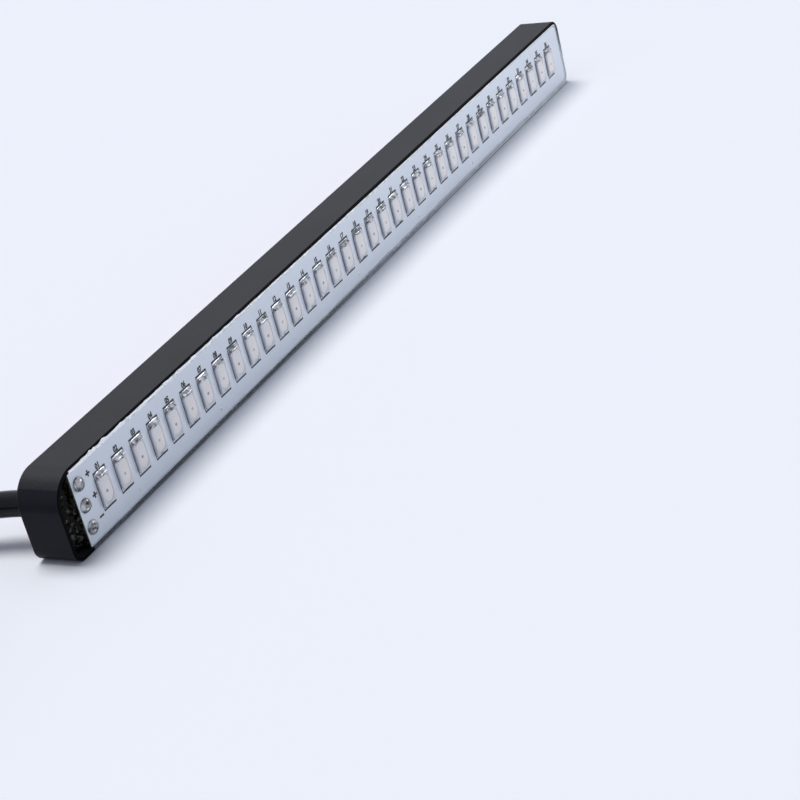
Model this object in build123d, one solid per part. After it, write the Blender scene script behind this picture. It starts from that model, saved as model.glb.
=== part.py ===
from build123d import *
import math
import os

# Slim LED strip lamp for the front of a car, standing on its long side.
# Millimetres. X runs along the lamp, the lead end at -X. The LEDs look to -Y, Z is up.
# Depths are measured from the front of the rim towards the back.

# LED row
led_count = 36
lead_end_margin = 9.7
far_end_margin = 6.3
led_width = 2.7
led_length = 4.8
led_height = 0.5
led_corner_cut = 0.5
lens_width = 2.0
lens_length = 3.9
lens_depth = 0.08
fillet_width = 2.0
fillet_reach = 0.45
fillet_height = 0.4

# Tray
lamp_length = 170.0
lamp_height = 12.6
lead_top_corner_radius = 4.5
lead_low_corner_radius = 2.0
far_corner_radius = 2.0
front_edge_radius = 0.15
back_edge_radius = 0.25
rim_width = 0.55
ledge_width = 1.15
back_wall = 1.2
cavity_depth = 4.6
rib_count = 6
rib_thickness = 1.0
wire_bay = 9.0
least_corner = 0.2

# Board
board_recess = 0.1
board_thickness = 1.0
board_clearance = 0.15
board_lead_overhang = 6.0
pad_from_led = 4.6
pad_spacing = 3.3
pad_diameter = 2.1
dome_height = 0.75
dome_crown_radius = 0.45
dome_shoulder_radius = 0.85
dome_shoulder_height = 0.5
ring_height = 0.45
ring_radius = 0.6
ring_dip = 0.2
conductor_diameter = 0.6
hole_clearance = 0.1

# Parts behind the board
resistor_length = 3.2
resistor_width = 1.6
resistor_height = 0.6
resistor_spacing = 16.0
diode_length = 4.3
diode_width = 2.6
diode_height = 2.1

# Sealing
sealant_width = 0.5
sealant_thickness = 0.14
sealant_slope = 0.1
end_glue_depth = 1.7
end_glue_under_board = 0.4
seal_bead_inside = 0.8
seal_bead_outside = 0.6
seal_flare = 1.0
seal_gap = 0.3
fit_clearance = 0.03

# Cable and its cores
cable_diameter = 3.7
cable_stub = 0.8
core_diameter = 1.1
core_spacing = 1.2
core_strip = 0.4

# Mounting tape
tape_height = 10.0
tape_thickness = 0.9
tape_corner = 1.0
tape_from_seal = 3.0
tape_from_far_end = 6.0
liner_thickness = 0.15

# Put-away lead: a hank lying in line with the lamp, past its lead end
hank_straight = 28.0
hank_inner_radius = 11.1
hank_east_x = -117.0
hank_lead_in = 11.0
tie_thickness = 0.6
tie_width = 3.0
tie_slack = 0.1
lead_length = 22.0
lead_tip_length = 5.0
lead_tip_diameter = 0.8
lead_pitch = 1.25
lead_drop = 8.0

# Worked out from the sizes above
led_pitch = (lamp_length - lead_end_margin - far_end_margin) / (led_count - 1)
lamp_depth = board_recess + board_thickness + cavity_depth + back_wall
lead_end_x = -lamp_length / 2
far_end_x = lamp_length / 2
first_led_x = lead_end_x + lead_end_margin
board_start_x = first_led_x - board_lead_overhang
board_back = board_recess + board_thickness
cavity_floor = board_back + cavity_depth
mid_z = lamp_height / 2
front_proud = max(led_height - board_recess, dome_height - board_recess)
front_y = (front_proud - lamp_depth - tape_thickness - liner_thickness) / 2
pad_x = first_led_x - pad_from_led
pad_heights = [pad_spacing, 0.0, -pad_spacing]
cable_x = pad_x
cable_radius = cable_diameter / 2
seal_radius = cable_radius + seal_flare
back_y = front_y + lamp_depth

os.makedirs("parts", exist_ok=True)


def at_depth(depth, x=0.0):
    """Plane across the lamp that looks out of the front, its Y up, at a depth behind the rim."""
    return Plane(origin=(x, front_y + depth, mid_z), x_dir=(1, 0, 0), z_dir=(0, -1, 0))


def tray_outline(inset):
    """Front view of the tray drawn in by an inset, with its largest corner above the cable."""
    reach = lamp_length / 2 - inset
    top = lamp_height / 2 - inset
    corners = [
        ((-reach, top), lead_top_corner_radius),
        ((-reach, -top), lead_low_corner_radius),
        ((reach, top), far_corner_radius),
        ((reach, -top), far_corner_radius),
    ]
    shape = Rectangle(2 * reach, 2 * top)
    for place, radius in corners:
        corner = shape.vertices().sort_by_distance(place)[0]
        shape = fillet(corner, max(radius - inset, least_corner))
    return shape


def layer(sketch, start, end):
    """Solid of a front-view sketch between two depths."""
    return extrude(at_depth(start) * sketch, -(end - start))


def around_cable(profile):
    """Turned solid about the cable's axis, from (radius, depth) points."""
    points = [(cable_x + radius, front_y + depth) for radius, depth in profile]
    axis = Axis((cable_x, 0, mid_z), (0, 1, 0))
    return revolve(make_face(Plane.XY.offset(mid_z) * Polyline(*points, close=True)), axis)


def save(name, shape):
    shape.label = name
    export_step(shape, f"parts/{name}.step")


# Tray: a rim round the board, a ledge that the board sits on, which drops at the lead end to make room for the
# glue, ribs behind the board and a hole for the cable
lead_side = Rectangle(lamp_length, lamp_height, align=(Align.MAX, Align.CENTER))
board_side = Rectangle(lamp_length, lamp_height, align=(Align.MIN, Align.CENTER))
within_rim = tray_outline(rim_width)
within_ledge = tray_outline(rim_width + ledge_width)
well = within_rim & Pos(board_start_x, 0) * lead_side
housing = layer(tray_outline(0), 0, lamp_depth)
front_edges = housing.faces().sort_by(Axis.Y)[0].edges()
housing = fillet(front_edges, front_edge_radius)
back_edges = housing.faces().sort_by(Axis.Y)[-1].edges()
housing = fillet(back_edges, back_edge_radius)
housing -= layer(within_rim, 0, board_back)
housing -= layer(within_ledge, board_back, cavity_floor)
housing -= layer(well, board_back, board_back + end_glue_depth)
bays_start = cable_x + wire_bay
bays_end = far_end_x - rim_width - ledge_width
bay_length = (bays_end - bays_start) / rib_count
rib_places = [bays_start + i * bay_length for i in range(rib_count)]
rib_sketch = Rectangle(rib_thickness, lamp_height - 2 * rim_width)
for rib_x in rib_places:
    housing += layer(Pos(rib_x, 0) * rib_sketch, board_back, cavity_floor)
cable_hole = Pos(cable_x, 0) * Circle(cable_radius + seal_gap)
housing -= layer(cable_hole, cavity_floor, lamp_depth)
save("housing", housing)

# Board: square at the lead end, following the tray at the far end
board_sketch = tray_outline(rim_width + board_clearance) & Pos(board_start_x, 0) * board_side
for pad_z in pad_heights:
    board_sketch -= Pos(pad_x, pad_z) * Circle((conductor_diameter + hole_clearance) / 2)
save("circuit_board", layer(board_sketch, board_recess, board_back))

# LEDs: a frame with one cut corner and a sunk lens, amber and white in turn
led_sketch = Rectangle(led_width, led_length)
mark_corner = led_sketch.vertices().sort_by(Axis.Y)[-2:].sort_by(Axis.X)[0]
led_sketch = chamfer(mark_corner, led_corner_cut)
lens_sketch = SlotOverall(lens_length, lens_width, rotation=90)
led_top = board_recess - led_height
led_body = layer(led_sketch, led_top, board_recess)
led_body -= layer(lens_sketch, led_top, led_top + lens_depth)
fillet_profile = [(0, 0), (fillet_reach, 0), (0, fillet_height)]
wedge_face = make_face(Plane.YZ * Polyline(*[(-h, z) for z, h in fillet_profile], close=True))
wedge = extrude(wedge_face, fillet_width / 2, both=True)
upper_wedge = Pos(0, front_y + board_recess, mid_z + led_length / 2) * wedge
lower_wedge = mirror(upper_wedge, Plane.XY.offset(mid_z))
wedges = []
for i in range(led_count):
    place = Pos(first_led_x + i * led_pitch, 0, 0)
    colour = "amber" if i % 2 == 0 else "white"
    save(f"{colour}_led_{i // 2 + 1:02d}", place * led_body)
    wedges += [place * upper_wedge, place * lower_wedge]
save("led_solder", Compound(children=wedges))

# Solder on the lead pads: a full dome on the top one, hollow rings on the other two
pad_radius = pad_diameter / 2
conductor_radius = conductor_diameter / 2
pads = []
for pad_z in pad_heights:
    if pad_z == pad_heights[0]:
        crown = (dome_crown_radius, dome_height)
        shoulder = (dome_shoulder_radius, dome_shoulder_height)
        outline = [(0, dome_height), crown, shoulder, (pad_radius, 0)]
    else:
        outline = [(0, ring_dip), (ring_radius, ring_height), (pad_radius, 0)]
    half = make_face(Polyline((0, 0), *outline, close=True))
    joint = revolve(half, Axis.Y)
    pads.append(Pos(pad_x, front_y + board_recess, mid_z + pad_z) * Rot(180, 0, 0) * joint)
save("pad_solder", Compound(children=pads))

# Series resistors and blocking diodes on the back of the board, between the ribs
chips = []
diodes = []
for i, rib_x in enumerate(rib_places):
    bay_x = rib_x + bay_length / 2
    for side in (-0.5, 0.5):
        chip = Pos(bay_x + side * resistor_spacing, 0) * Rectangle(resistor_length, resistor_width)
        chips.append(layer(chip, board_back, board_back + resistor_height))
    if i < 2:
        diode = layer(Pos(bay_x, 0) * Rectangle(diode_length, diode_width), board_back, board_back + diode_height)
        diodes.append(chamfer(diode.faces().sort_by(Axis.Y)[-1].edges(), diode_height / 6))
save("series_resistors", Compound(children=chips))
save("blocking_diodes", Compound(children=diodes))

# Clear sealant on the board along the rim, sloped down towards the LEDs
sealant_inner = tray_outline(rim_width + sealant_width)
sealant_sketch = (within_rim - sealant_inner) & Pos(board_start_x, 0) * board_side
sealant = layer(sealant_sketch, board_recess - sealant_thickness, board_recess)
inner_z = lamp_height / 2 - rim_width - sealant_width + 0.01
inner_x = far_end_x - rim_width - sealant_width + 0.01
sealant_edges = sealant.faces().sort_by(Axis.Y)[0].edges()
sealant_edges = sealant_edges.filter_by(lambda e: abs(e.center().Z - mid_z) < inner_z and e.center().X < inner_x)
save("edge_sealant", chamfer(sealant_edges, sealant_slope))

# Black glue that closes the gap between the board's end and the tray's end wall, and runs a little under the board
glue_sketch = well + (within_ledge & Pos(board_start_x + end_glue_under_board, 0) * lead_side)
save("end_glue", layer(glue_sketch, board_back, board_back + end_glue_depth))

# Glue seal about the cable: a bead on both sides of the back wall and a sleeve in the hole
bore = cable_radius + fit_clearance
sleeve = cable_radius + seal_gap - fit_clearance
seal_profile = [
    (bore, cavity_floor - seal_bead_inside),
    (sleeve, cavity_floor - seal_bead_inside),
    (seal_radius, cavity_floor),
    (sleeve, cavity_floor),
    (sleeve, lamp_depth),
    (seal_radius, lamp_depth),
    (sleeve, lamp_depth + seal_bead_outside),
    (bore, lamp_depth + seal_bead_outside),
]
save("cable_seal", around_cable(seal_profile))

# Cores from the cable's end to the pads, slanting apart, stripped where they pass through the board
core_start = cavity_floor - cable_stub
core_end = board_back + core_strip
for name, row, pad_z in zip(("amber_core", "white_core", "ground_core"), (1, 0, -1), pad_heights):
    start_z = row * core_spacing
    slant = Vector(0, core_end - core_start, pad_z - start_z)
    root = at_depth(core_start, cable_x) * Pos(0, start_z) * Circle(core_diameter / 2)
    core = extrude(root, slant.length, dir=slant)
    tip = at_depth(core_end, cable_x) * Pos(0, pad_z) * Circle(conductor_radius)
    core += extrude(tip, board_thickness + core_strip)
    save(name, core)

# Foam tape and its liner on the back
tape_start_x = cable_x + seal_radius + tape_from_seal
tape_end_x = far_end_x - tape_from_far_end
tape_sketch = RectangleRounded(tape_end_x - tape_start_x, tape_height, tape_corner)
tape_sketch = Pos((tape_start_x + tape_end_x) / 2, 0) * tape_sketch
tape_back = lamp_depth + tape_thickness
save("mounting_tape", layer(tape_sketch, lamp_depth, tape_back))
save("tape_liner", layer(tape_sketch, tape_back, tape_back + liner_thickness))

# Hank: two turns side by side and one on top of them, with a straight lead-in on its outer side
hank_outer_radius = hank_inner_radius + cable_diameter
hank_top_radius = hank_inner_radius + cable_radius
layer_rise = cable_diameter * math.sqrt(3) / 2
hank_low_z = tie_thickness
hank_mid_z = hank_low_z + cable_diameter
hank_top_z = hank_mid_z + layer_rise
hank_x = hank_east_x - hank_straight / 2
route_side_y = 26.9
hank_y = route_side_y - hank_outer_radius


def racetrack(radius, width):
    """Flat ring with straight sides, a cable width or two across."""
    outside = SlotCenterToCenter(hank_straight, 2 * (radius + width / 2))
    inside = SlotCenterToCenter(hank_straight, 2 * (radius - width / 2))
    return Pos(hank_x, hank_y) * (outside - inside)


lower_turns = extrude(Plane.XY.offset(hank_low_z) * racetrack(hank_top_radius, 2 * cable_diameter), cable_diameter)
upper_turn = extrude(Plane.XY.offset(hank_mid_z) * racetrack(hank_top_radius, cable_diameter), layer_rise)
hank_reach = hank_outer_radius + cable_radius
open_side = Box(hank_straight + hank_reach, hank_reach, hank_top_z, align=(Align.MIN, Align.MAX, Align.MIN))
upper_turn -= Pos(hank_x - hank_straight / 2, hank_y, 0) * open_side
cable_lie_z = hank_low_z + cable_radius
lead_in_x = hank_east_x + hank_lead_in
lead_in_plane = Plane(origin=(lead_in_x, route_side_y, cable_lie_z), z_dir=(-1, 0, 0))
lead_in = extrude(lead_in_plane * Circle(cable_radius), hank_lead_in)
hank = lower_turns + upper_turn + lead_in
save("cable_hank", hank)

# Cable: straight out of the back, down to the surface and round to the hank
route = [
    (cable_x, front_y + core_start, mid_z),
    (cable_x, 11.9, mid_z),
    (cable_x - 5.5, 21.4, 4.9),
    (cable_x - 14.9, route_side_y, cable_lie_z),
    (lead_in_x, route_side_y, cable_lie_z),
]
runs = [Vector(*b) - Vector(*a) for a, b in zip(route, route[1:])]
radii = []
for before, after in zip(runs, runs[1:]):
    turn = math.radians(before.get_angle(after))
    radii.append(0.45 * min(before.length, after.length) / math.tan(turn / 2))
cable_path = FilletPolyline(*route, radius=radii)
cable = sweep(Plane(origin=cable_path @ 0, z_dir=cable_path % 0) * Circle(cable_radius), cable_path)
save("cable", cable)
print("cable bend radii:", [round(r, 1) for r in radii])
print("cable volume over section times length:", round(
    cable.volume / (math.pi * cable_radius ** 2 * cable_path.length), 4))

# Lead ends: three bare-tipped cores that lie on the hank's open side
leads_y = hank_y - hank_top_radius
leads_start_x = hank_x - hank_straight / 2
leads_lie_z = hank_mid_z + core_diameter / 2 + fit_clearance
leads_start_z = hank_mid_z + layer_rise / 2
for name, row in zip(("amber_lead", "white_lead", "ground_lead"), (1, 0, -1)):
    lead_y = leads_y + row * lead_pitch
    lead_path = FilletPolyline(
        (leads_start_x, lead_y, leads_start_z),
        (leads_start_x + lead_drop / 2, lead_y, leads_start_z),
        (leads_start_x + lead_drop, lead_y, leads_lie_z),
        (leads_start_x + lead_length - lead_tip_length, lead_y, leads_lie_z),
        radius=2 * core_diameter,
    )
    lead = sweep(Plane(origin=lead_path @ 0, z_dir=lead_path % 0) * Circle(core_diameter / 2), lead_path)
    tip = Plane(origin=lead_path @ 1, z_dir=lead_path % 1) * Circle(lead_tip_diameter / 2)
    lead += extrude(tip, lead_tip_length)
    save(name, lead)


def tie(side, x, low_width, top_width, height):
    """Band round the strands of one side of the hank."""
    low = low_width / 2 + tie_slack
    top = top_width / 2 + tie_slack
    inside = make_face(Polyline(
        (-low, hank_low_z), (low, hank_low_z), (low, hank_mid_z), (top, hank_low_z + height + tie_slack),
        (-top, hank_low_z + height + tie_slack), (-low, hank_mid_z), close=True))
    band = offset(inside, tie_thickness) - inside
    section = Plane(origin=(x, hank_y + side * hank_top_radius, 0), x_dir=(0, 1, 0), z_dir=(1, 0, 0))
    return extrude(section * band, tie_width / 2, both=True)


full_height = cable_diameter + layer_rise
lead_side_height = cable_diameter + core_diameter + 2 * fit_clearance
lead_side_width = 2 * lead_pitch + core_diameter
north_tie = tie(1, hank_x, 2 * cable_diameter, cable_diameter, full_height)
south_tie = tie(-1, hank_x, 2 * cable_diameter, lead_side_width, lead_side_height)
save("hank_ties", Compound(children=[north_tie, south_tie]))
print("lamp length, height, depth:", lamp_length, lamp_height, round(lamp_depth, 2))
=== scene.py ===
import math
import random
import bmesh
import bpy
from mathutils import Matrix, Vector, noise


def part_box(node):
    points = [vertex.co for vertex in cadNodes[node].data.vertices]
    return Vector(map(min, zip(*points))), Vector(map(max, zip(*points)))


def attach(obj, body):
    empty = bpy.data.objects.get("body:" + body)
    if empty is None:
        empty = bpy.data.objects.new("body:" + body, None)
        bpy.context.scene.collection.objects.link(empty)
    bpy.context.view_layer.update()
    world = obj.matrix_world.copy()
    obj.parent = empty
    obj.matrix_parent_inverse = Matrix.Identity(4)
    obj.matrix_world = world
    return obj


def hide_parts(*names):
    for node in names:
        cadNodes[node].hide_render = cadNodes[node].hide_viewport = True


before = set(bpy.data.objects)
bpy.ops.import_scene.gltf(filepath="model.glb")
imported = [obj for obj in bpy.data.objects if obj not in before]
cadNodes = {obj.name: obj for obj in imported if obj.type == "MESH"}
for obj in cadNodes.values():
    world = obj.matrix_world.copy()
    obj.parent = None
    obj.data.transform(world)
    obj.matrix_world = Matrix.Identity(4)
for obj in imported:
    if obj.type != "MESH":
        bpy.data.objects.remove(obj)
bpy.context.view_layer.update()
print("frame loaded:", len(cadNodes), "pieces")

mm = 0.001
scene = bpy.context.scene
random.seed(11)


# one socket of a material; arithmetic on it adds Math nodes
class Wire:
    def __init__(self, finish, socket):
        self.finish = finish
        self.socket = socket

    def maths(self, operation, other, swapped=False):
        first, second = (other, self) if swapped else (self, other)
        return self.finish.add("ShaderNodeMath", {"operation": operation}, {0: first, 1: second})

    def __add__(self, other):
        return self.maths("ADD", other)

    def __radd__(self, other):
        return self.maths("ADD", other, True)

    def __sub__(self, other):
        return self.maths("SUBTRACT", other)

    def __rsub__(self, other):
        return self.maths("SUBTRACT", other, True)

    def __mul__(self, other):
        return self.maths("MULTIPLY", other)

    def __rmul__(self, other):
        return self.maths("MULTIPLY", other, True)

    def __truediv__(self, other):
        return self.maths("DIVIDE", other)

    def __rtruediv__(self, other):
        return self.maths("DIVIDE", other, True)

    def __gt__(self, other):
        return self.maths("GREATER_THAN", other)

    def __lt__(self, other):
        return self.maths("LESS_THAN", other)

    def __abs__(self):
        return self.maths("ABSOLUTE", 0.0)


# a node tree and the shader that it ends in
class Graph:
    def __init__(self, owner, shaderName):
        owner.use_nodes = True
        self.tree = owner.node_tree
        self.shader = self.tree.nodes[shaderName]

    def add(self, kind, settings=None, sockets=None, output=0):
        made = self.tree.nodes.new(kind)
        for key, value in (settings or {}).items():
            if key == "stops":
                while len(made.color_ramp.elements) < len(value):
                    made.color_ramp.elements.new(0.5)
                for element, (position, level) in zip(made.color_ramp.elements, value):
                    element.position = position
                    element.color = (level, level, level, 1)
            else:
                setattr(made, key, value)
        for key, value in (sockets or {}).items():
            self.feed(made.inputs[key], value)
        return Wire(self, made.outputs[output])

    def feed(self, socket, value):
        if isinstance(value, Wire):
            self.tree.links.new(value.socket, socket)
        else:
            socket.default_value = value

    def give(self, **sockets):
        for socket, value in sockets.items():
            self.feed(self.shader.inputs[socket.replace("_", " ")], value)

    def ramp(self, value, *stops):
        return self.add("ShaderNodeValToRGB", {"stops": stops}, {"Fac": value}, "Color")

    def blend(self, factor, first, second):
        settings = {"data_type": "RGBA"}
        colours = [c if isinstance(c, Wire) else (*c, 1) for c in (first, second)]
        return self.add("ShaderNodeMix", settings, {0: factor, 6: colours[0], 7: colours[1]}, 2)


# a material with one Principled shader; fixed values are set straight on its sockets
class Finish(Graph):
    def __init__(self, name, **fixed):
        self.material = bpy.data.materials.new(name)
        super().__init__(self.material, "Principled BSDF")
        self.give(**fixed)

    def place(self):
        return self.add("ShaderNodeTexCoord", output="Object")

    def axis(self, letter, vector=None):
        return self.add("ShaderNodeSeparateXYZ", None, {0: vector or self.place()}, letter)

    def facing(self, letter):
        return self.axis(letter, self.add("ShaderNodeNewGeometry", output="Normal"))

    # scale is in features per millimetre
    def grain(self, scale, detail=2.0, roughness=0.5, vector=None):
        sockets = {
            "Vector": vector or self.place(),
            "Scale": scale / mm,
            "Detail": detail,
            "Roughness": roughness,
        }
        return self.add("ShaderNodeTexNoise", None, sockets, "Fac")

    def stretched(self, x, y, z):
        return self.add("ShaderNodeVectorMath", {"operation": "MULTIPLY"}, {0: self.place(), 1: (x, y, z)})

    # depth in millimetres
    def bump(self, height, depth, strength):
        sockets = {"Height": height, "Distance": depth * mm, "Strength": strength}
        return self.add("ShaderNodeBump", None, sockets, "Normal")


# camera: the photograph's view, from the lead end and a little above
cameraView = {
    "place": (-257.87, -172.61, 126.77),
    "right": (0.4389, -0.8692, -0.2279),
    "up": (0.4919, 0.0202, 0.8704),
    "lens": 92.34,
    "sensor": 36.0,
    "clipStart": 0.01,
    "clipEnd": 100.0,
}
cameraData = bpy.data.cameras.new("camera")
cameraData.lens = cameraView["lens"]
cameraData.sensor_width = cameraView["sensor"]
cameraData.clip_start = cameraView["clipStart"]
cameraData.clip_end = cameraView["clipEnd"]
cameraObject = bpy.data.objects.new("camera", cameraData)
scene.collection.objects.link(cameraObject)
right = Vector(cameraView["right"]).normalized()
back = right.cross(Vector(cameraView["up"])).normalized()
turn = Matrix((right, back.cross(right), back)).transposed().to_4x4()
cameraObject.matrix_world = Matrix.Translation(Vector(cameraView["place"]) * mm) @ turn
scene.camera = cameraObject
print("camera placed")

# stage: a pale floor, a backdrop that the camera, gloss and glass see, a dimmer sky as the light, least
# from the camera's side, a broad soft light from above and a low window of light at the far end
stageLook = {
    "floorColour": (0.925, 0.92, 0.945),
    "floorHalf": 30.0,
    "backdropColour": (0.835, 0.873, 0.968),
    "skyColour": (0.40, 0.445, 0.53),
    "dimColour": (0.12, 0.13, 0.15),
    "dimSide": (-0.62, -0.74, 0.25),
    "dimFrom": 0.25,
    "dimFull": 0.85,
    "keyFrom": (0.10, 0.27, 0.955),
    "keyStrength": 1.95,
    "keyAngle": 30.0,
    "keyColour": (0.965, 0.985, 1.0),
    "windowPlace": (0.20, -0.22, 0.075),
    "windowAim": (0.02, 0.0, 0.035),
    "windowSize": 0.14,
    "windowPower": 0.078,
    "windowSpread": 80.0,
}
scene.view_settings.view_transform = "Standard"
world = bpy.data.worlds.new("studio")
scene.world = world
sky = Graph(world, "Background")
skyWay = sky.add("ShaderNodeTexCoord", output="Generated")
dimWay = Vector(stageLook["dimSide"]).normalized()
towards = sky.add("ShaderNodeVectorMath", {"operation": "DOT_PRODUCT"}, {0: skyWay, 1: dimWay}, "Value")
dimShare = sky.ramp(towards, (stageLook["dimFrom"], 0.0), (stageLook["dimFull"], 1.0))
skyLight = sky.blend(dimShare, stageLook["skyColour"], stageLook["dimColour"])
cameraRay = sky.add("ShaderNodeLightPath", output="Is Camera Ray")
glossyRay = sky.add("ShaderNodeLightPath", output="Is Glossy Ray")
glassRay = sky.add("ShaderNodeLightPath", output="Is Transmission Ray")
sky.give(Color=sky.blend(cameraRay + glossyRay + glassRay, skyLight, stageLook["backdropColour"]))
keyData = bpy.data.lights.new("key", "SUN")
keyData.energy = stageLook["keyStrength"]
keyData.angle = math.radians(stageLook["keyAngle"])
keyData.color = stageLook["keyColour"]
key = bpy.data.objects.new("key", keyData)
key.rotation_mode = "QUATERNION"
key.rotation_quaternion = Vector(stageLook["keyFrom"]).to_track_quat("Z", "Y")
scene.collection.objects.link(key)
windowData = bpy.data.lights.new("window", "AREA")
windowData.energy = stageLook["windowPower"]
windowData.size = stageLook["windowSize"]
windowData.spread = math.radians(stageLook["windowSpread"])
windowLight = bpy.data.objects.new("window", windowData)
windowLight.location = stageLook["windowPlace"]
windowLight.rotation_mode = "QUATERNION"
windowWay = windowLight.location - Vector(stageLook["windowAim"])
windowLight.rotation_quaternion = windowWay.to_track_quat("Z", "Y")
windowLight.visible_camera = False
scene.collection.objects.link(windowLight)
half = stageLook["floorHalf"]
floorCorners = [(-half, -half, 0), (half, -half, 0), (half, half, 0), (-half, half, 0)]
floorMesh = bpy.data.meshes.new("floor")
floorMesh.from_pydata(floorCorners, [], [(0, 1, 2, 3)])
floor = bpy.data.objects.new("floor", floorMesh)
scene.collection.objects.link(floor)
paper = Finish("pale_paper", Base_Color=(*stageLook["floorColour"], 1), Roughness=0.9, Specular_IOR_Level=0.2)
floorMesh.materials.append(paper.material)
# the window lights the lamp alone, so that it leaves no bright patch on the floor
unlit = bpy.data.collections.new("unlit_by_window")
unlit.objects.link(floor)
unlit.collection_objects[0].light_linking.link_state = "EXCLUDE"
windowLight.light_linking.receiver_collection = unlit
print("stage lit")


def jacketFinish():
    look = Finish("black_pvc_jacket", Specular_IOR_Level=0.13)
    cloud = look.grain(0.35, 3.0)
    fine = look.grain(5.0, 2.0)
    look.give(
        Base_Color=look.blend(cloud, (0.0035, 0.0035, 0.0045), (0.0085, 0.0085, 0.0105)),
        Roughness=0.15 + 0.10 * cloud,
        Normal=look.bump(fine, 0.008, 0.5),
    )
    return look.material


# cable: out of the back, down to the floor and round into its hank; in millimetres, its length in metres
cableSizes = {
    "diameter": 3.7,
    "length": 0.395,
    "exit": (-79.9, 3.25, 6.3),
    "route": [
        (-79.9, 1.25, 6.3),
        (-79.9, 11.9, 6.3),
        (-85.4, 21.4, 4.9),
        (-94.8, 26.9, 2.45),
        (-106.0, 26.9, 2.45),
    ],
    "eastX": -117.0,
    "westX": -145.0,
    "lowZ": 2.45,
    "topZ": 5.654,
    "climb": [2.45, 4.0, 5.8, 6.3, 6.25, 5.95, 5.654],
    "beforeClimb": (-125.0, 1.0, 2.45),
    "corners": 5,
}
# sides of the hank in the order that the cable follows them
hankSides = [26.9, -2.7, 23.2, 1.0, 25.05, -0.85]


# control points of half a turn between two sides, with one more on each side
def halfTurn(x, fromY, toY, heights):
    count = cableSizes["corners"]
    step = math.pi / count
    radius = (fromY - toY) / 2
    middle = (fromY + toY) / 2
    outward = -1 if radius > 0 else 1
    reach = abs(radius) * math.tan(step / 2)
    points = [(x - outward * reach, fromY, heights[0])]
    for corner in range(count):
        angle = step * (corner + 0.5)
        far = radius / math.cos(step / 2)
        points.append((x - far * math.sin(angle), middle + far * math.cos(angle), heights[corner + 1]))
    points.append((x - outward * reach, toY, heights[-1]))
    return points


def cablePoints():
    low = [cableSizes["lowZ"]] * (cableSizes["corners"] + 2)
    top = [cableSizes["topZ"]] * (cableSizes["corners"] + 2)
    points = list(cableSizes["route"])
    points += halfTurn(cableSizes["westX"], hankSides[0], hankSides[1], low)
    points += halfTurn(cableSizes["eastX"], hankSides[1], hankSides[2], low)
    points += halfTurn(cableSizes["westX"], hankSides[2], hankSides[3], low)
    points.append(cableSizes["beforeClimb"])
    points += halfTurn(cableSizes["eastX"], hankSides[3], hankSides[4], cableSizes["climb"])
    points += halfTurn(cableSizes["westX"], hankSides[4], hankSides[5], top)[:-1]
    points.append((cableSizes["westX"], hankSides[5], cableSizes["topZ"]))
    return points


def makeCable():
    curve = bpy.data.curves.new("lead_cable", "CURVE")
    curve.dimensions = "3D"
    curve.resolution_u = 10
    curve.bevel_depth = cableSizes["diameter"] / 2 * mm
    curve.bevel_resolution = 6
    curve.use_fill_caps = True
    spline = curve.splines.new("NURBS")
    points = cablePoints()
    spline.points.add(len(points) - 1)
    for point, place in zip(spline.points, points):
        point.co = (*(Vector(place) * mm), 1)
    spline.order_u = 3
    spline.use_endpoint_u = True
    cable = bpy.data.objects.new("lead_cable", curve)
    scene.collection.objects.link(cable)
    curve.materials.append(jacketFinish())
    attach(cable, "root")
    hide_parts("cable", "cable_hank")


makeCable()
print("cable laid")

# places that the pieces share, read from the frame
boardLow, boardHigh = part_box("circuit_board")
trayLow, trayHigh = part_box("housing")
boardFace = boardLow.y
middleZ = (trayLow.z + trayHigh.z) / 2
ledNames = sorted((name for name in cadNodes if "_led_" in name), key=lambda name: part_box(name)[0].x)
ledPlaces = [sum(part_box(name), Vector()) / 2 for name in ledNames]


# a mesh piece of the lamp, closed, smooth but for its edges
def addPiece(name, points, faces, finishes, faceFinish=None, stands=(), slot=None, at=(0, 0, 0), edge=35.0):
    mesh = bpy.data.meshes.new(name)
    mesh.from_pydata(points, [], faces)
    for finish in finishes:
        mesh.materials.append(finish)
    for face, index in zip(mesh.polygons, faceFinish or []):
        face.material_index = index
    work = bmesh.new()
    work.from_mesh(mesh)
    bmesh.ops.recalc_face_normals(work, faces=work.faces)
    work.to_mesh(mesh)
    work.free()
    mesh.shade_smooth()
    mesh.set_sharp_from_angle(angle=math.radians(edge))
    return hangPiece(name, mesh, stands, slot, at)


def hangPiece(name, mesh, stands=(), slot=None, at=(0, 0, 0)):
    piece = bpy.data.objects.new(name, mesh)
    piece.location = at
    scene.collection.objects.link(piece)
    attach(piece, "root")
    if stands:
        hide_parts(*stands)
    return piece


# closed solid between two grids of points of one size
def gridSolid(top, base, start=0):
    rows, columns = len(top), len(top[0])
    points = [point for row in top + base for point in row]

    def spot(row, column, layer):
        return start + (layer * rows + row) * columns + column

    faces = []
    for row in range(rows - 1):
        for column in range(columns - 1):
            for layer in (0, 1):
                faces.append((spot(row, column, layer), spot(row, column + 1, layer),
                              spot(row + 1, column + 1, layer), spot(row + 1, column, layer)))
    for column in range(columns - 1):
        for row in (0, rows - 1):
            faces.append((spot(row, column, 0), spot(row, column + 1, 0),
                          spot(row, column + 1, 1), spot(row, column, 1)))
    for row in range(rows - 1):
        for column in (0, columns - 1):
            faces.append((spot(row, column, 0), spot(row + 1, column, 0),
                          spot(row + 1, column, 1), spot(row, column, 1)))
    return points, faces


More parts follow.
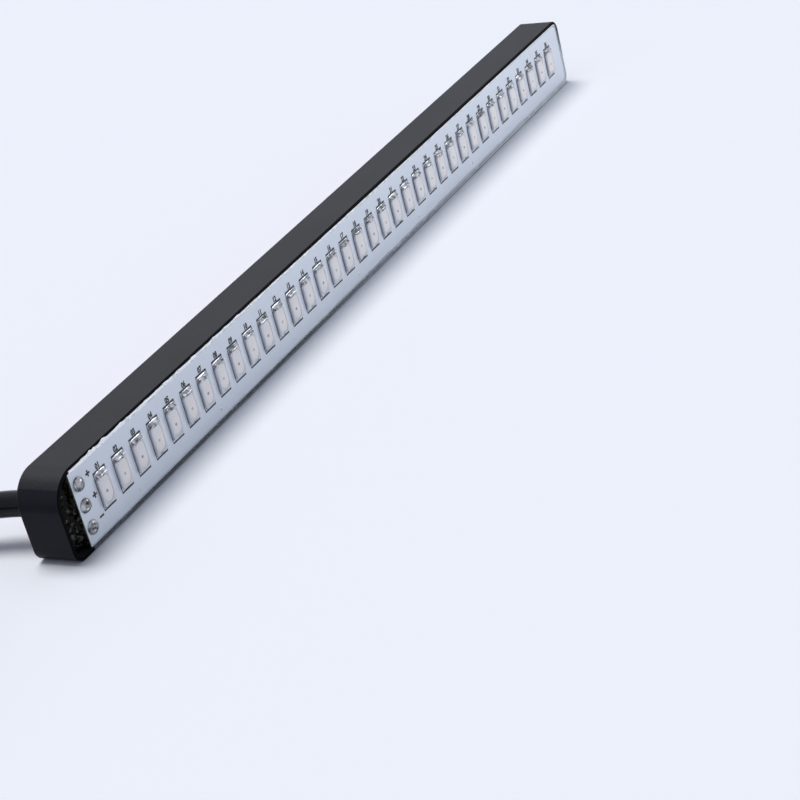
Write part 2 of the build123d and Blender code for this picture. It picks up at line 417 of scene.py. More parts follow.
# closed solid of loops of points, the first loop capped, the last drawn to its middle
def ringSolid(rings, start=0):
    count = len(rings[0])
    points = [point for ring in rings for point in ring]
    faces = [tuple(start + i for i in range(count))]
    for ring in range(len(rings) - 1):
        for i in range(count):
            after = (i + 1) % count
            low, high = start + ring * count, start + (ring + 1) * count
            faces.append((low + i, low + after, high + after, high + i))
    last = start + (len(rings) - 1) * count
    points.append(sum((Vector(point) for point in rings[-1]), Vector()) / count)
    faces += [(last + i, last + (i + 1) % count, start + len(points) - 1) for i in range(count)]
    return points, faces


def dress(node, finishes, choose=None):
    mesh = cadNodes[node].data
    mesh.materials.clear()
    for finish in finishes:
        mesh.materials.append(finish)
    for face in mesh.polygons:
        face.material_index = choose(face) if choose else 0


# tray: grained on its long walls, smooth on its ends, a dark satin rim; the ends' darker tone and the rim's
# near-black are painted shade
trayLook = {
    "grainScale": 3.0,
    "grainDepth": 0.035,
    "dark": (0.0042, 0.0044, 0.0054),
    "light": (0.0130, 0.0136, 0.0160),
    # the ends are smooth; their darker, bluer tone is painted shade for faces turned from the light
    "endToneWithShade": (0.0054, 0.0060, 0.0098),
    "endRoughness": 0.36,
    "endGloss": 0.10,
    "endFacing": 0.75,
    # painted shade: the rim's front faces take a near-black tone because they face the dim side
    "rimToneWithShade": (0.0013, 0.0013, 0.0018),
    "rimRoughness": 0.45,
    "rimGloss": 0.025,
    "rimFacing": 0.3,
    "rimDepth": 0.2,
}


def grainedTray():
    look = Finish("grained_tray", Specular_IOR_Level=0.21)
    speck = look.grain(trayLook["grainScale"], 3.0, 0.62)
    cloud = look.grain(0.11, 2.0)
    tone = look.ramp(speck, (0.36, 0.0), (0.68, 1.0))
    look.give(
        Base_Color=look.blend(tone, trayLook["dark"], trayLook["light"]),
        Roughness=0.40 + 0.08 * cloud + 0.10 * speck,
        Normal=look.bump(speck, trayLook["grainDepth"], 0.7),
    )
    return look.material


def smoothTray(name, tone, roughness, gloss):
    look = Finish(name, Specular_IOR_Level=gloss)
    cloud = look.grain(0.25, 3.0)
    fine = look.grain(6.0, 2.0)
    lighter = tuple(1.7 * level for level in tone)
    look.give(
        Base_Color=look.blend(cloud, tone, lighter),
        Roughness=roughness + 0.10 * cloud,
        Normal=look.bump(fine, 0.012, 0.4),
    )
    return look.material


# which of the tray's three finishes a face takes; the ends' and the rim's tones carry painted shade
def trayFace(face):
    atRim = face.center.y < trayLow.y + trayLook["rimDepth"] * mm
    if atRim and face.normal.y < -trayLook["rimFacing"]:
        return 2
    return int(abs(face.normal.x) > trayLook["endFacing"])


endLookWithShade = (trayLook["endToneWithShade"], trayLook["endRoughness"], trayLook["endGloss"])
rimLookWithShade = (trayLook["rimToneWithShade"], trayLook["rimRoughness"], trayLook["rimGloss"])
endFinishWithShade = smoothTray("smooth_tray_end_painted_shade", *endLookWithShade)
rimFinishWithShade = smoothTray("satin_tray_rim_painted_shade", *rimLookWithShade)
dress("housing", [grainedTray(), endFinishWithShade, rimFinishWithShade], trayFace)
print("tray dressed")

# board: white mask on its faces, bare laminate at its edges
boardLook = {
    "mask": (0.665, 0.715, 0.795),
    "maskDeep": (0.61, 0.66, 0.74),
    "laminate": (0.16, 0.165, 0.11),
}


def maskFinish():
    look = Finish("white_solder_mask", Specular_IOR_Level=0.5)
    cloud = look.grain(0.16, 4.0, 0.6)
    peel = look.grain(1.6, 2.0)
    across = abs(look.facing("Y"))
    mask = look.blend(cloud, boardLook["maskDeep"], boardLook["mask"])
    look.give(
        Base_Color=look.blend(across > 0.5, boardLook["laminate"], mask),
        Roughness=0.30 + 0.12 * cloud + 0.25 * (across < 0.5),
        Normal=look.bump(peel, 0.008, 0.5),
    )
    return look.material


dress("circuit_board", [maskFinish()])
print("board dressed")

# LEDs: a moulded frame, a dished milky window with the chip showing dimly through it
ledShape = {
    "edge": 0.07,
    "cornerCut": 0.5,
    "windowWidth": 2.0,
    "windowLength": 3.9,
    "windowDepth": 0.08,
    "windowSlope": 0.08,
    "windowLip": 0.06,
    "lipDrop": 0.02,
    "dish": 0.05,
    "dishRings": (0.8, 0.55, 0.28),
    "draft": 0.01,
    "aroundSteps": 44,
    "terminalWidth": 2.2,
    "terminalHeight": 0.30,
    "terminalReach": 0.2,
    "terminalInset": 0.1,
}
ledLook = {
    "amber": {"frame": (0.605, 0.605, 0.66), "window": (0.76, 0.735, 0.75), "chip": (0.16, 0.09, 0.07)},
    "white": {"frame": (0.615, 0.615, 0.665), "window": (0.775, 0.75, 0.75), "chip": (0.40, 0.34, 0.30)},
    "chipAt": (-0.18, 0.0, -0.35),
    "chipRadius": 0.24,
    "glowReach": 2.2,
    "softness": 1.3,
    "bleed": (1.0, 0.85, 0.8),
}


def frameFinish(kind):
    look = Finish(kind + "_led_frame", Subsurface_Weight=1.0)
    look.give(Subsurface_Scale=ledLook["softness"] * mm, Subsurface_Radius=ledLook["bleed"])
    cloud = look.grain(1.1, 3.0)
    tone = ledLook[kind]["frame"]
    look.give(
        Base_Color=look.blend(cloud, tuple(0.93 * level for level in tone), tone),
        Roughness=0.38 + 0.15 * cloud,
        Normal=look.bump(look.grain(7.0), 0.008, 0.5),
    )
    return look.material


def windowFinish(kind):
    look = Finish(kind + "_led_window", Specular_IOR_Level=0.5, Coat_Roughness=0.12)
    spot = tuple(value * mm for value in ledLook["chipAt"])
    flat = look.stretched(1, 0, 1)
    far = look.add("ShaderNodeVectorMath", {"operation": "DISTANCE"}, {0: flat, 1: spot}, "Value") / mm
    chip = look.ramp(far / (2 * ledLook["chipRadius"]), (0.30, 1.0), (0.62, 0.0))
    glow = look.ramp(far / ledLook["glowReach"], (0.0, 1.0), (1.0, 0.0))
    cloud = look.grain(1.6, 3.0)
    tone = ledLook[kind]["window"]
    milky = look.blend(0.5 * glow + 0.4 * cloud, tuple(0.88 * level for level in tone), tone)
    look.give(
        Base_Color=look.blend(0.8 * chip, milky, ledLook[kind]["chip"]),
        Roughness=0.26 + 0.12 * cloud,
        Coat_Weight=0.35 + 0.2 * cloud,
    )
    return look.material


# distance from the middle of an LED to its outline, which has one cut corner
def frameReach(angle, wide, high, cut):
    across, upward = math.cos(angle), math.sin(angle)
    slant = (upward - across) / math.sqrt(2)
    sides = [(across, wide), (-across, wide), (upward, high), (-upward, high), (slant, cut)]
    return min(limit / slope for slope, limit in sides if slope > 1e-9)


# distance from the middle to the outline of a slot with round ends
def slotReach(angle, wide, high):
    across, upward = abs(math.cos(angle)), abs(math.sin(angle))
    straight = high - wide
    if across > 1e-9 and upward * wide / across <= straight:
        return wide / across
    return upward * straight + math.sqrt(max(wide ** 2 - (across * straight) ** 2, 0))


def ledMesh(wide, high, tall):
    edge, slope = ledShape["edge"], ledShape["windowSlope"]
    windowFloor = tall - ledShape["windowDepth"]
    slotWide, slotHigh = ledShape["windowWidth"] / 2, ledShape["windowLength"] / 2
    cut = (wide + high - ledShape["cornerCut"]) / math.sqrt(2)
    corners = [(wide, high), (wide, -high), (-wide, -high), (-wide, high - ledShape["cornerCut"]),
               (ledShape["cornerCut"] - wide, high)]
    angles = [math.tau * i / ledShape["aroundSteps"] for i in range(ledShape["aroundSteps"])]
    angles = sorted(angles + [math.atan2(z, x) % math.tau for x, z in corners])

    def loop(reach, height):
        return [(reach(a) * math.cos(a) * mm, -height * mm, reach(a) * math.sin(a) * mm) for a in angles]

    def outline(inset):
        return lambda a: frameReach(a, wide - inset, high - inset, cut - inset)

    def window(inset, share=1.0):
        return lambda a: share * slotReach(a, slotWide - inset, slotHigh - inset)

    rings = [
        loop(outline(0), 0),
        loop(outline(ledShape["draft"]), tall - edge),
        loop(outline(0.3 * edge), tall - 0.3 * edge),
        loop(outline(edge), tall),
        loop(window(-ledShape["windowLip"]), tall),
        loop(window(0.0), tall - ledShape["lipDrop"]),
        loop(window(slope), windowFloor),
    ]
    frameRings = len(rings)
    for share in ledShape["dishRings"]:
        rings.append(loop(window(slope, share), windowFloor + ledShape["dish"] * (1 - share ** 2)))
    points, faces = ringSolid(rings)
    count = len(angles)
    finish = [0] * (1 + (frameRings - 1) * count)
    finish += [1] * (len(faces) - len(finish))
    half, up, reach = ledShape["terminalWidth"] / 2, ledShape["terminalHeight"], ledShape["terminalReach"]
    for side in (-1, 1):
        inner, outer = side * (high - ledShape["terminalInset"]), side * (high + reach)
        top = [[(x * mm, -up * mm, z * mm) for x in (-half, half)] for z in (inner, outer)]
        base = [[(x * mm, 0, z * mm) for x in (-half, half)] for z in (inner, outer)]
        tabPoints, tabFaces = gridSolid(top, base, len(points))
        points += tabPoints
        faces += tabFaces
        finish += [2] * len(tabFaces)
    return points, faces, finish


def solderFinish(name, light, dark):
    look = Finish(name)
    cloud = look.grain(1.2, 3.0)
    fine = look.grain(4.5, 2.0)
    look.give(
        Base_Color=look.blend(look.ramp(cloud, (0.36, 0.0), (0.66, 1.0)), dark, light),
        Metallic=0.92 + 0.08 * cloud,
        Roughness=0.16 + 0.22 * cloud,
        Normal=look.bump(fine, 0.03, 0.5),
    )
    return look.material


# painted reflection: the reflowed and hand solder fall to near-black in patches, and the pads' solder is
# darker overall, standing in for dark surroundings mirrored in the metal
solder = solderFinish("reflowed_solder_painted_reflection", (0.66, 0.67, 0.69), (0.10, 0.105, 0.115))
handSolder = solderFinish("hand_solder_painted_reflection", (0.46, 0.465, 0.47), (0.08, 0.082, 0.085))
tin = solderFinish("tinned_terminal", (0.70, 0.70, 0.70), (0.55, 0.55, 0.56))


def makeLeds():
    meshes = {}
    for name, place in zip(ledNames, ledPlaces):
        kind = name.split("_")[0]
        low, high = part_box(name)
        at = (place.x, boardFace, place.z)
        if kind in meshes:
            hangPiece(name + "_lamp", meshes[kind], [name], kind + "_led_resin", at)
            continue
        wide, tall = (high.x - low.x) / 2 / mm, (high.y - low.y) / mm
        bodyHigh = (high.z - low.z) / 2 / mm - ledShape["terminalReach"]
        points, faces, finish = ledMesh(wide, bodyHigh, tall)
        looks = [frameFinish(kind), windowFinish(kind), tin]
        piece = addPiece(name + "_lamp", points, faces, looks, finish, [name], kind + "_led_resin", at, 30.0)
        meshes[kind] = piece.data


makeLeds()
print("LEDs made:", len(ledNames))

# solder at the LED ends: hollow fillets, each a little different, the upper ones drawn up over the LED's end
filletShape = {
    "halfWidth": 1.05,
    "height": 0.42,
    "reach": 0.46,
    "over": (0.25, 0.50),
    "bead": 0.07,
    "sunk": 0.015,
    "foot": 0.02,
    "least": 0.012,
    "hollow": (1.15, 1.9),
    "swell": (-0.65, 0.05),
    "lump": (0.78, 0.5, 0.3),
    "tongue": (0.4, 0.7, 0.5),
    "cornerDrop": 0.35,
    "flare": 0.12,
    "columns": 13,
    "rows": 12,
    "unevenness": 0.18,
}


# a level, raised in a soft bump at a place
def bump(across, centre, level, rise, width):
    return level + rise * math.exp(-((across - centre) / width) ** 2)


def filletPoints(place, side, start):
    ledLow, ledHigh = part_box(ledNames[0])
    wallZ = place.z + side * (ledHigh.z - ledPlaces[0].z - ledShape["terminalReach"] * mm)
    beadBase = (ledHigh.y - ledLow.y) / mm - filletShape["sunk"]
    beadRise = filletShape["bead"] + filletShape["sunk"]
    uneven = filletShape["unevenness"]
    hollow = random.uniform(*filletShape["hollow"])
    height = filletShape["height"] * random.uniform(1 - uneven, 1 + uneven)
    reach = filletShape["reach"] * random.uniform(1 - uneven, 1 + uneven)
    swell = random.uniform(*filletShape["swell"])
    over = random.uniform(*filletShape["over"]) if side > 0 else 0.0
    top, base = [], []
    for row in range(filletShape["rows"]):
        out = (over + reach) * row / (filletShape["rows"] - 1) - over
        topRow, baseRow = [], []
        for column in range(filletShape["columns"]):
            across = 2 * column / (filletShape["columns"] - 1) - 1
            rounded = 1 - filletShape["cornerDrop"] * across ** 4
            lump = bump(across, swell, *filletShape["lump"]) * rounded
            if out < 0:
                inward = -out / over / bump(across, swell, *filletShape["tongue"])
                high = beadBase + beadRise * lump * math.sqrt(max(1 - inward ** 2, 0))
            else:
                full = beadBase + beadRise * lump if side > 0 else height * lump
                fall = max(1 - out / reach, 0)
                high = full * fall ** hollow + filletShape["foot"] * fall
            spread = 1 + filletShape["flare"] * max(out / reach, 0)
            x = place.x + filletShape["halfWidth"] * across * spread * mm
            z = wallZ + side * out * (rounded if out > 0 else 1) * mm
            topRow.append((x, boardFace - max(high, filletShape["least"]) * mm, z))
            baseRow.append((x, boardFace, z))
        top.append(topRow)
        base.append(baseRow)
    return gridSolid(top, base, start)


def makeFillets():
    points, faces = [], []
    for place in ledPlaces:
        for side in (1, -1):
            morePoints, moreFaces = filletPoints(place, side, len(points))
            points += morePoints
            faces += moreFaces
    addPiece("led_solder_fillets", points, faces, [solder], None, ["led_solder"], "solder", edge=50.0)


makeFillets()
print("LED solder made")

# solder on the three lead pads: a full dome above, two hollow rings below
padShape = {
    "radius": 1.05,
    "aroundSteps": 36,
    "dome": [
        (1.0, 0.0), (1.0, 0.05), (0.985, 0.16), (0.93, 0.32),
        (0.82, 0.47), (0.65, 0.60), (0.42, 0.69), (0.20, 0.735),
    ],
    "ring": [
        (1.0, 0.0), (1.0, 0.04), (0.95, 0.16), (0.85, 0.31), (0.70, 0.41), (0.56, 0.44),
        (0.44, 0.40), (0.34, 0.29), (0.27, 0.23), (0.24, 0.30), (0.12, 0.34),
    ],
    "footHeight": 0.06,
    "unevenness": 0.07,
    "tipDepth": 0.2,
}
feeds = ("amber", "white", "ground")


# middle of a wire's end in its pad
def padMiddle(core):
    depth = boardFace + padShape["tipDepth"] * mm
    tip = [vertex.co for vertex in cadNodes[core].data.vertices if vertex.co.y < depth]
    xs, zs = [place.x for place in tip], [place.z for place in tip]
    return (min(xs) + max(xs)) / 2, (min(zs) + max(zs)) / 2


def padRings(x, z, profile, seed):
    rings = []
    for share, height in profile:
        ring = []
        for i in range(padShape["aroundSteps"]):
            angle = math.tau * i / padShape["aroundSteps"]
            wobble = noise.noise((math.cos(angle) * 1.3, math.sin(angle) * 1.3, seed + share))
            loose = padShape["unevenness"] * wobble if height > padShape["footHeight"] else 0
            far = share * padShape["radius"] * (1 + loose) * mm
            lift = height * (1 + 1.6 * padShape["unevenness"] * wobble) * mm
            ring.append((x + far * math.cos(angle), boardFace - lift, z + far * math.sin(angle)))
        rings.append(ring)
    return rings


def makePads():
    points, faces = [], []
    for index, feed in enumerate(feeds):
        x, z = padMiddle(feed + "_core")
        profile = padShape["dome"] if index == 0 else padShape["ring"]
        morePoints, moreFaces = ringSolid(padRings(x, z, profile, 3.7 * index), len(points))
        points += morePoints
        faces += moreFaces
    addPiece("pad_solder_joints", points, faces, [handSolder], None, ["pad_solder"], "solder", edge=60.0)


makePads()
print("pad solder made")

# print on the board: a box round each LED, its number, marks at the pads, and small plated holes
printShape = {
    "thickness": 0.02,
    "boxWidth": 2.84,
    "boxLength": 5.84,
    "topLine": 0.30,
    "sideLine": 0.10,
    "bottomLine": 0.24,
    "numberHeight": 0.86,
    "typeSize": 1.4,
    "numberNarrow": 0.80,
    "numberLift": 0.10,
    "boldness": 0.06,
    "markSize": 0.95,
    "markLine": 0.28,
    "markAt": 2.05,
    "markLift": 0.25,
    "holeStep": 5,
    "holeFrom": 2,
    "holeDrop": 4.35,
    "holeRadius": 0.21,
    "holeSteps": 20,
    "holeProfile": [(1.0, 0.0), (1.0, 0.02), (0.85, 0.035), (0.55, 0.035), (0.4, 0.012)],
}


def inkFinish():
    look = Finish("board_ink", Specular_IOR_Level=0.4)
    worn = look.grain(2.4, 3.0)
    look.give(
        Base_Color=look.blend(worn, (0.008, 0.009, 0.012), (0.030, 0.032, 0.040)),
        Roughness=0.45 + 0.2 * worn,
    )
    return look.material


# flat bar of ink between two corners, in millimetres from a place on the board
def inkBar(place, left, low, right, high, start):
    thick = printShape["thickness"]
    corners = [[(x, z) for x in (left, right)] for z in (low, high)]
    top = [[(place.x + x * mm, boardFace - thick * mm, place.z + z * mm) for x, z in row] for row in corners]
    base = [[(place.x + x * mm, boardFace, place.z + z * mm) for x, z in row] for row in corners]
    return gridSolid(top, base, start)


# a number in plain figures as a mesh, its foot at the origin
def figureMesh(text):
    figures = bpy.data.curves.new("figures", "FONT")
    figures.body = text
    figures.align_x = "CENTER"
    figures.size = printShape["numberHeight"] * printShape["typeSize"] * mm
    figures.offset = printShape["boldness"] * mm
    figures.extrude = printShape["thickness"] / 2 * mm
    figures.resolution_u = 3
    holder = bpy.data.objects.new("figures", figures)
    mesh = bpy.data.meshes.new_from_object(holder)
    narrow, sink = printShape["numberNarrow"], printShape["thickness"] / 2 * mm
    points = [(narrow * v.co.x, -v.co.z - sink, v.co.y) for v in mesh.vertices]
    faces = [tuple(face.vertices) for face in mesh.polygons]
    bpy.data.objects.remove(holder)
    bpy.data.meshes.remove(mesh)
    bpy.data.curves.remove(figures)
    return points, faces


def makePrint():
    points, faces = [], []
    wide, high = printShape["boxWidth"] / 2, printShape["boxLength"] / 2

    def bar(place, left, low, right, top):
        morePoints, moreFaces = inkBar(place, left, low, right, top, len(points))
        points.extend(morePoints)
        faces.extend(moreFaces)

    side = printShape["sideLine"]
    inTop, inLow = high - printShape["topLine"], printShape["bottomLine"] - high
    for number, place in enumerate(ledPlaces, 1):
        bar(place, -wide, inTop, wide, high)
        bar(place, -wide, -high, wide, inLow)
        bar(place, -wide, inLow, side - wide, inTop)
        bar(place, wide - side, inLow, wide, inTop)
        figurePoints, figureFaces = figureMesh(f"{number:02d}")
        start = len(points)
        foot = Vector((place.x, boardFace, place.z + (high + printShape["numberLift"]) * mm))
        points.extend(tuple(foot + Vector(point)) for point in figurePoints)
        faces.extend(tuple(start + i for i in face) for face in figureFaces)
    half, line = printShape["markSize"] / 2, printShape["markLine"] / 2
    for feed in feeds:
        tip = min(cadNodes[feed + "_core"].data.vertices, key=lambda vertex: vertex.co.y).co
        markX, markZ = tip.x + printShape["markAt"] * mm, tip.z + printShape["markLift"] * mm
        mark = Vector((markX, boardFace, markZ))
        bar(mark, -half, -line, half, line)
        if feed != "ground":
            bar(mark, -line, line, line, half)
            bar(mark, -line, -half, line, -line)
    addPiece("board_print", points, faces, [inkFinish()], None, (), "chip_black", edge=30.0)


def makeHoles():
    points, faces = [], []
    radius, steps = printShape["holeRadius"] * mm, printShape["holeSteps"]
    circle = [(math.cos(math.tau * i / steps), math.sin(math.tau * i / steps)) for i in range(steps)]
    for index in range(printShape["holeFrom"], len(ledPlaces), printShape["holeStep"]):
        x = (ledPlaces[index].x + ledPlaces[index - 1].x) / 2
        z = ledPlaces[index].z - printShape["holeDrop"] * mm
        rings = []
        for share, height in printShape["holeProfile"]:
            far, level = share * radius, boardFace - height * mm
            rings.append([(x + far * across, level, z + far * upward) for across, upward in circle])
        morePoints, moreFaces = ringSolid(rings, len(points))
        points += morePoints
        faces += moreFaces
    addPiece("plated_holes", points, faces, [tin], None, (), "solder", edge=30.0)


makePrint()
makeHoles()
print("board printed")

# clear sealant: a meniscus between the board and the rim, uneven in width, with pale dashes of painted glint
# along its top; it laps over the top rim in pale patches near the lead end, their paleness partly painted
# highlight, and is smeared over the lower rim, where it grows clouded towards the far end, a lightening
# partly painted reflection of the floor
sealantShape = {
    "rim": 0.55,
    "farRadius": 2.0,
    "width": 0.40,
    "climb": 0.15,
    "topBead": 0.16,
    "smear": 0.46,
    "smearTop": 0.55,
    "smearFade": 0.9,
    "lapLeast": 0.17,
    "lap": 0.42,
    "lapMost": 0.26,
    "lapFadeFrom": 30.0,
    "lapFadeLength": 100.0,
    "lapFaded": 0.12,
    "lapFrom": 0.868,
    "cloudySheenFrom": -25.0,
    "cloudySheenLength": 95.0,
    "step": 0.5,
    "rows": 8,
    "cornerSteps": 8,
    "crownAt": 0.2,
    "startGap": 0.3,
    "wallGap": 0.005,
    "rimEdge": 0.02,
    "rimCover": 0.012,
    "boardCover": 0.004,
}


def sealantFinish():
    look = Finish("clear_sealant", Specular_IOR_Level=0.6, IOR=1.42)
    cloud = look.grain(0.5, 3.0)
    fine = look.grain(2.2, 2.0)
    lift = (look.axis("Z") - middleZ) / (trayHigh.z - middleZ)
    along = (look.axis("X") - sealantShape["cloudySheenFrom"] * mm) / (sealantShape["cloudySheenLength"] * mm)
    low = look.ramp(sealantShape["smearTop"] - lift, (0.0, 0.0), (sealantShape["smearFade"], 1.0))
    # the smear over the lower rim: partly the sealant's own cloud, partly painted reflection that lightens
    # the black rim towards the far end
    cloudyAndSheen = low * look.ramp(along, (0.0, 0.0), (1.0, 1.0))
    leadEnd = look.ramp(0 - along, (0.22, 0.0), (0.34, 1.0))
    # painted glints: pale flecks along the top edge, more of them near the lead end, none near the far end
    paintedGlint = look.ramp(look.grain(1.3, 2.0, 0.6) + 0.08 * leadEnd, (0.44, 0.0), (0.55, 1.0))
    paintedGlint = (lift > 0.8) * (along < 0.9) * paintedGlint
    # where it laps over the top rim: the sealant itself, its pale colour partly a painted highlight
    lap = lift > sealantShape["lapFrom"]
    look.give(
        Base_Color=look.blend(paintedGlint + lap, (0.66, 0.71, 0.78), (0.93, 0.95, 0.97)),
        Roughness=0.06 + 0.10 * cloud,
        Alpha=0.12 + 0.12 * cloud + 0.72 * paintedGlint + 0.62 * cloudyAndSheen + (0.35 + 0.5 * cloud) * lap,
        Normal=look.bump(fine, 0.05, 0.6),
    )
    return look.material


# share of the smear at a height above the lamp's middle: none along the top, full along the bottom
def smearShare(z, high):
    return min(max((sealantShape["smearTop"] - z / high) / sealantShape["smearFade"], 0), 1)


# points along the rim's inner wall with the direction away from it, from the lead end round the far end
def rimPath():
    inset, corner = sealantShape["rim"], sealantShape["farRadius"] - sealantShape["rim"]
    high = (trayHigh.z - trayLow.z) / 2 / mm - inset
    startX, endX = boardLow.x / mm + sealantShape["startGap"], trayHigh.x / mm - inset
    count = int((endX - corner - startX) / sealantShape["step"])
    xs = [startX + (endX - corner - startX) * i / count for i in range(count + 1)]
    path = [((x, high), (0, -1)) for x in xs]
    for centreZ, first in ((high - corner, 90), (corner - high, 0)):
        for i in range(1, sealantShape["cornerSteps"] + 1):
            angle = math.radians(first - 90 * i / sealantShape["cornerSteps"])
            out = (math.cos(angle), math.sin(angle))
            path.append(((endX - corner + corner * out[0], centreZ + corner * out[1]), (-out[0], -out[1])))
        if first == 90:
            rise = int((high - corner) * 2 / sealantShape["step"])
            path += [((endX, (high - corner) * (1 - 2 * i / rise)), (-1, 0)) for i in range(1, rise + 1)]
    return path + [((x, -high), (0, 1)) for x in reversed(xs[:-1])]


# height of the sealant's section at a share of its width, from the rim to the board
def sealantCrown(share, climb):
    peak = sealantShape["crownAt"]
    if share > peak:
        return climb * (1 - (share - peak) / (1 - peak)) ** 1.5
    return climb * (1 - 0.6 * (peak - share) / peak)


def makeSealant():
    rimFace = trayLow.y / mm
    boardAt = boardFace / mm
    high = (trayHigh.z - trayLow.z) / 2 / mm
    top, base = [], []
    for (x, z), (inX, inZ) in rimPath():
        swell = noise.noise((x * 0.45, z * 0.45, 4.0)) + 0.5 * noise.noise((x * 1.9, z * 1.9, 9.0))
        width = sealantShape["width"] * (1 + 0.30 * swell)
        low = smearShare(z, high)
        climb = sealantShape["climb"] * (1 + 0.35 * swell)
        climb += sealantShape["topBead"] * (1 - low) * (0.7 + 0.8 * swell)
        patch = max(noise.noise((x * 0.9, z * 0.3, 7.0)) + 0.5 * noise.noise((x * 2.3, z, 3.0)), 0)
        fade = (sealantShape["lapFadeFrom"] - x) / sealantShape["lapFadeLength"]
        fade = min(max(fade, sealantShape["lapFaded"]), 1)
        lap = sealantShape["lapLeast"] + min(sealantShape["lap"] * patch, sealantShape["lapMost"]) * fade
        smear = sealantShape["smear"] * low * (1 + 0.15 * swell) + lap * fade * (1 - low)
        topRow, baseRow = [], []
        for row in range(sealantShape["rows"]):
            share = row / (sealantShape["rows"] - 1)
            into = width * share - smear * (1 - share) + sealantShape["wallGap"]
            px, pz = (x + inX * into) * mm, middleZ + (z + inZ * into) * mm
            under = rimFace if into < 0.0 else boardAt
            lift = boardAt - sealantCrown(share, climb)
            if into < sealantShape["rimEdge"]:
                lift = min(lift, rimFace - sealantShape["rimCover"])
            else:
                lift -= sealantShape["boardCover"]
            topRow.append((px, lift * mm, pz))
            baseRow.append((px, under * mm, pz))
        top.append(topRow)
        base.append(baseRow)
    points, faces = gridSolid(top, base)
    looks = [sealantFinish()]
    addPiece("edge_sealant_bead", points, faces, looks, None, ["edge_sealant"], "clear_sealant", edge=60.0)


makeSealant()
print("sealant laid")

# black glue, deep in the well between the board's end and the tray's end wall, drawn up at its edges
glueShape = {
    "inset": 0.55,
    "topRadius": 4.5,
    "lowRadius": 2.0,
    "columns": 18,
    "rows": 64,
    "level": 0.75,
    "waves": 0.28,
    "wallClimb": 0.5,
    "wallSteepness": 7,
    "boardClimb": 1.55,
    "boardSteepness": 5,
    "mostRise": 0.93,
    "floor": 1.65,
    "endGap": 0.01,
    "sideGap": 0.02,
}


def glueFinish():
    look = Finish("black_glue", Specular_IOR_Level=0.08, Coat_Roughness=0.04)
    cloud = look.grain(0.6, 3.0)
    ripple = look.grain(0.9, 1.0)
    lift = (look.axis("Z") - trayLow.z) / (trayHigh.z - trayLow.z)
    look.give(
        Base_Color=look.blend(cloud, (0.0015, 0.0015, 0.0010), (0.0075, 0.0066, 0.0030)),
        Roughness=0.08 + 0.12 * cloud,
        Coat_Weight=look.ramp(look.grain(1.7, 2.0) - 0.22 * lift, (0.48, 0.0), (0.56, 1.0)),
        Normal=look.bump(ripple, 0.8, 1.0),
    )
    return look.material


# how far the well's end wall is drawn in at a height, by its corner's radius
def cornerDraw(z, high, corner):
    over = max(abs(z) - (high - corner), 0)
    return corner - math.sqrt(max(corner ** 2 - over ** 2, 0))


def makeGlue():
    inset, gap = glueShape["inset"], glueShape["endGap"]
    high = (trayHigh.z - trayLow.z) / 2 / mm - inset
    wallX = trayLow.x / mm + inset
    endX = boardLow.x / mm - gap
    boardBack = boardHigh.y / mm
    top, base = [], []
    for row in range(glueShape["rows"]):
        z = (high - glueShape["sideGap"]) * (2 * row / (glueShape["rows"] - 1) - 1)
        corner = glueShape["topRadius"] if z > 0 else glueShape["lowRadius"]
        leftX = wallX + cornerDraw(z, high, corner - inset) + gap
        topRow, baseRow = [], []
        for column in range(glueShape["columns"]):
            share = column / (glueShape["columns"] - 1)
            x = leftX + (endX - leftX) * share
            wave = noise.noise((x * 0.9, z * 0.7, 2.0)) + 0.5 * noise.noise((x * 2.1, z * 1.7, 5.0))
            rise = glueShape["wallClimb"] * math.exp(-share * glueShape["wallSteepness"])
            rise += glueShape["boardClimb"] * math.exp((share - 1) * glueShape["boardSteepness"])
            rise = min(rise, glueShape["level"] + glueShape["mostRise"])
            depth = glueShape["level"] - rise - glueShape["waves"] * wave * (1 - share)
            topRow.append((x * mm, (boardBack + depth) * mm, middleZ + z * mm))
            baseRow.append((x * mm, (boardBack + glueShape["floor"]) * mm, middleZ + z * mm))
        top.append(topRow)
        base.append(baseRow)
    points, faces = gridSolid(top, base)
    addPiece("well_glue", points, faces, [glueFinish()], None, ["end_glue"], "black_glue", edge=60.0)


makeGlue()
print("well filled")


# back and inside: seal, tape and its film, chips, cores, ties and lead ends
def rubberFinish():
    look = Finish("seal_rubber", Specular_IOR_Level=0.45)
    cloud = look.grain(0.8, 3.0)
    look.give(
        Base_Color=look.blend(cloud, (0.008, 0.008, 0.009), (0.020, 0.020, 0.022)),
        Roughness=0.26 + 0.16 * cloud,
        Normal=look.bump(look.grain(1.6), 0.08, 0.6),
    )
    return look.material


def foamFinish():
    look = Finish("foam_tape", Specular_IOR_Level=0.2)
    sockets = {"Vector": look.place(), "Scale": 5.5 / mm}
    cells = look.add("ShaderNodeTexVoronoi", {"feature": "F1"}, sockets, "Distance")
    cellTone = look.ramp(cells, (0.1, 0.0), (0.7, 1.0))
    cloud = look.grain(0.5, 3.0)
    look.give(
        Base_Color=look.blend(cellTone, (0.018, 0.018, 0.020), (0.070, 0.070, 0.075)),
        Roughness=0.78 + 0.15 * cloud,
        Normal=look.bump(cells, 0.06, 0.8),
    )
    return look.material


def filmFinish():
    look = Finish("liner_film", Specular_IOR_Level=0.5, Coat_Roughness=0.15)
    sag = look.grain(1.0, 2.0, 0.5, look.stretched(0.08, 1.0, 0.45))
    cloud = look.grain(0.2, 3.0)
    look.give(
        Base_Color=look.blend(cloud, (0.36, 0.010, 0.012), (0.47, 0.018, 0.018)),
        Roughness=0.24 + 0.10 * cloud,
        Coat_Weight=0.25 + 0.2 * cloud,
        Normal=look.bump(sag, 0.10, 0.35),
    )
    return look.material


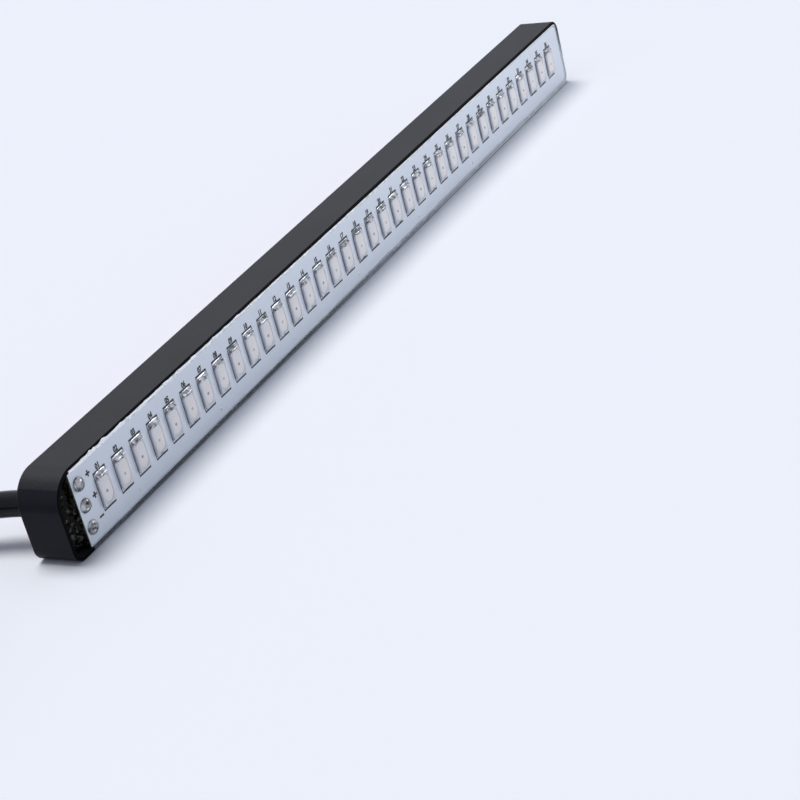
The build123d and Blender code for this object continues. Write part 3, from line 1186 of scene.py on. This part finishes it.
def sleeveFinish(name, tone):
    look = Finish(name + "_insulation", Specular_IOR_Level=0.5)
    cloud = look.grain(0.5, 3.0)
    look.give(
        Base_Color=look.blend(cloud, tuple(0.82 * level for level in tone), tone),
        Roughness=0.34 + 0.14 * cloud,
        Normal=look.bump(look.grain(3.0), 0.012, 0.5),
    )
    return look.material


def strandFinish():
    look = Finish("tinned_strands")
    sockets = {"Vector": look.place(), "Scale": 1.1 / mm, "Distortion": 0.6}
    twist = look.add("ShaderNodeTexWave", {"bands_direction": "DIAGONAL"}, sockets, "Fac")
    look.give(
        Base_Color=look.blend(twist, (0.40, 0.39, 0.37), (0.72, 0.71, 0.69)),
        Metallic=0.9 + 0.1 * twist,
        Roughness=0.42 - 0.14 * twist,
        Normal=look.bump(twist, 0.05, 0.8),
    )
    return look.material


def epoxyFinish(name, dark, light):
    look = Finish(name, Specular_IOR_Level=0.4)
    cloud = look.grain(1.4, 3.0)
    look.give(
        Base_Color=look.blend(cloud, dark, light),
        Roughness=0.45 + 0.2 * cloud,
        Normal=look.bump(look.grain(8.0), 0.01, 0.5),
    )
    return look.material


def bandFinish():
    look = Finish("tie_band", Specular_IOR_Level=0.45)
    sockets = {"Vector": look.place(), "Scale": 0.5 / mm}
    ribs = look.add("ShaderNodeTexWave", {"bands_direction": "X"}, sockets, "Fac")
    cloud = look.grain(0.9, 3.0)
    look.give(
        Base_Color=look.blend(cloud, (0.010, 0.010, 0.011), (0.026, 0.026, 0.028)),
        Roughness=0.40 + 0.15 * cloud,
        Normal=look.bump(ribs, 0.06, 0.6),
    )
    return look.material


# wires: coloured sleeves, bare in the pads and at the tips of the lead ends
wireLook = {
    "amber": (0.72, 0.46, 0.03),
    "white": (0.74, 0.73, 0.70),
    "ground": (0.016, 0.016, 0.017),
    "stripped": 0.35,
    "bareTip": 5.05,
}
strands = strandFinish()
strippedY = boardHigh.y + wireLook["stripped"] * mm
for feed in feeds:
    sleeve = sleeveFinish(feed, wireLook[feed])
    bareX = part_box(feed + "_lead")[1].x - wireLook["bareTip"] * mm
    dress(feed + "_core", [sleeve, strands], lambda face: int(face.center.y < strippedY))
    dress(feed + "_lead", [sleeve, strands], lambda face: int(face.center.x > bareX))
dress("cable_seal", [rubberFinish()])
dress("mounting_tape", [foamFinish()])
dress("tape_liner", [filmFinish()])
dress("hank_ties", [bandFinish()])
resistorBody = epoxyFinish("resistor_body", (0.012, 0.012, 0.014), (0.03, 0.03, 0.034))
dress("series_resistors", [resistorBody, tin], lambda face: int(abs(face.normal.x) > 0.9))
dress("blocking_diodes", [epoxyFinish("diode_body", (0.014, 0.014, 0.015), (0.035, 0.035, 0.036))])
print("back and inside dressed")
